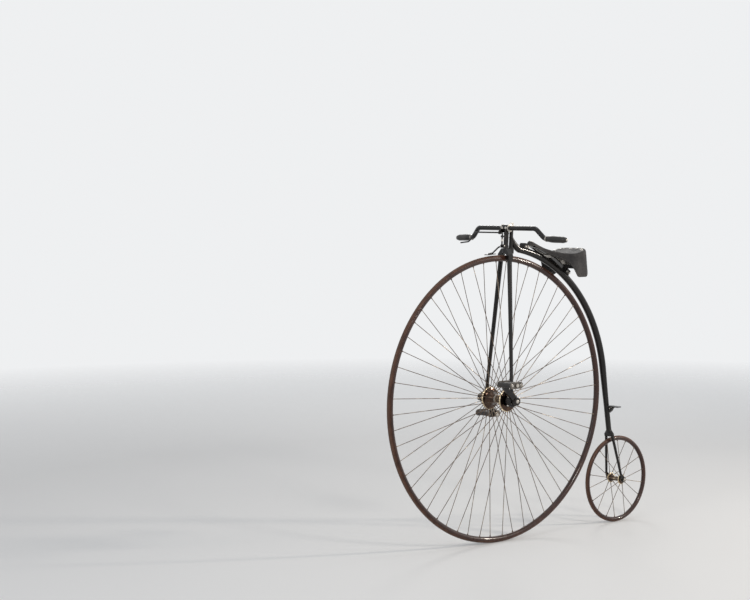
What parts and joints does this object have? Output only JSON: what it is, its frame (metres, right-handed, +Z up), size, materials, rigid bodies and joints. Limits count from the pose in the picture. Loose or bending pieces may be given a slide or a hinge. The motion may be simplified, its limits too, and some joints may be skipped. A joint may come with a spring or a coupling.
{
  "type": "penny farthing bicycle",
  "caption": "High-wheel bicycle: large spoked driving wheel with cranks on its axle, curved backbone, small trailing wheel, sprung leather saddle, dropped handlebar.",
  "frame": {"origin": "top of the saddle on the centre line, where the rider sits", "axes": "+X forward, +Y to the rider's left, +Z up"},
  "size_m": [1.6604, 0.7258, 1.4684],
  "materials": {
    "enamel": "gloss black stove enamel",
    "rim_paint": "dark brown-black paint, worn satin",
    "tyre": "solid rubber, matt, faintly red-brown",
    "spoke_steel": "dark browned steel wire",
    "hub_bronze": "browned bronze, polished on the edges",
    "bright_steel": "bright machined steel",
    "pedal_steel": "dark painted steel, worn at the edges",
    "rubber": "matt black rubber",
    "grip": "satin black rubber",
    "leather": "dark grey-black leather, matt"
  },
  "bodies": {
    "frame": {"backbone": "enamel", "neck": "enamel", "rear_crown": "enamel", "rear_blade_left": "enamel", "rear_blade_right": "enamel", "rear_axle": "bright_steel", "step": "enamel", "saddle_spring": "enamel", "spring_clips": "enamel", "saddle": "leather", "saddle_frame": "bright_steel"},
    "fork": {"fork_crown": "enamel", "fork_blade_left": "enamel", "fork_blade_right": "enamel", "bearing_left": "enamel", "bearing_right": "enamel", "head_bolt": "bright_steel", "handlebar": "enamel", "grip_left": "grip", "grip_right": "grip", "brake_spoon": "enamel", "brake_lever": "enamel"},
    "front_wheel": {"front_tyre": "tyre", "front_rim": "rim_paint", "front_spokes_left": "spoke_steel", "front_spokes_right": "spoke_steel", "front_hub": "hub_bronze", "front_axle": "bright_steel", "crank_left": "enamel", "crank_right": "enamel", "pedal_pin_left": "bright_steel", "pedal_pin_right": "bright_steel"},
    "rear_wheel": {"rear_tyre": "tyre", "rear_rim": "rim_paint", "rear_spokes_left": "spoke_steel", "rear_spokes_right": "spoke_steel", "rear_hub": "hub_bronze"},
    "pedal_left": {"pedal_frame_left": "pedal_steel", "pedal_rubbers_left": "rubber"},
    "pedal_right": {"pedal_frame_right": "pedal_steel", "pedal_rubbers_right": "rubber"}
  },
  "joints": [
    {"name": "steering", "type": "hinge", "parent": "frame", "child": "fork", "pos_m": [0.25901, 0, 0.01831], "axis": [-0.0576, 0, 0.9983], "range_deg": [-45, 45]},
    {"name": "front_wheel_spin", "type": "hinge", "parent": "fork", "child": "front_wheel", "pos_m": [0.32976, 0, -0.67016], "axis": [0, 1, 0], "continuous": true},
    {"name": "rear_wheel_spin", "type": "hinge", "parent": "frame", "child": "rear_wheel", "pos_m": [-0.45905, 0, -1.11926], "axis": [0, 1, 0], "continuous": true},
    {"name": "pedal_left_spin", "type": "hinge", "parent": "front_wheel", "child": "pedal_left", "pos_m": [0.41968, 0.125, -0.58333], "axis": [0, 1, 0], "continuous": true},
    {"name": "pedal_right_spin", "type": "hinge", "parent": "front_wheel", "child": "pedal_right", "pos_m": [0.23984, -0.125, -0.75699], "axis": [0, 1, 0], "continuous": true}
  ]
}
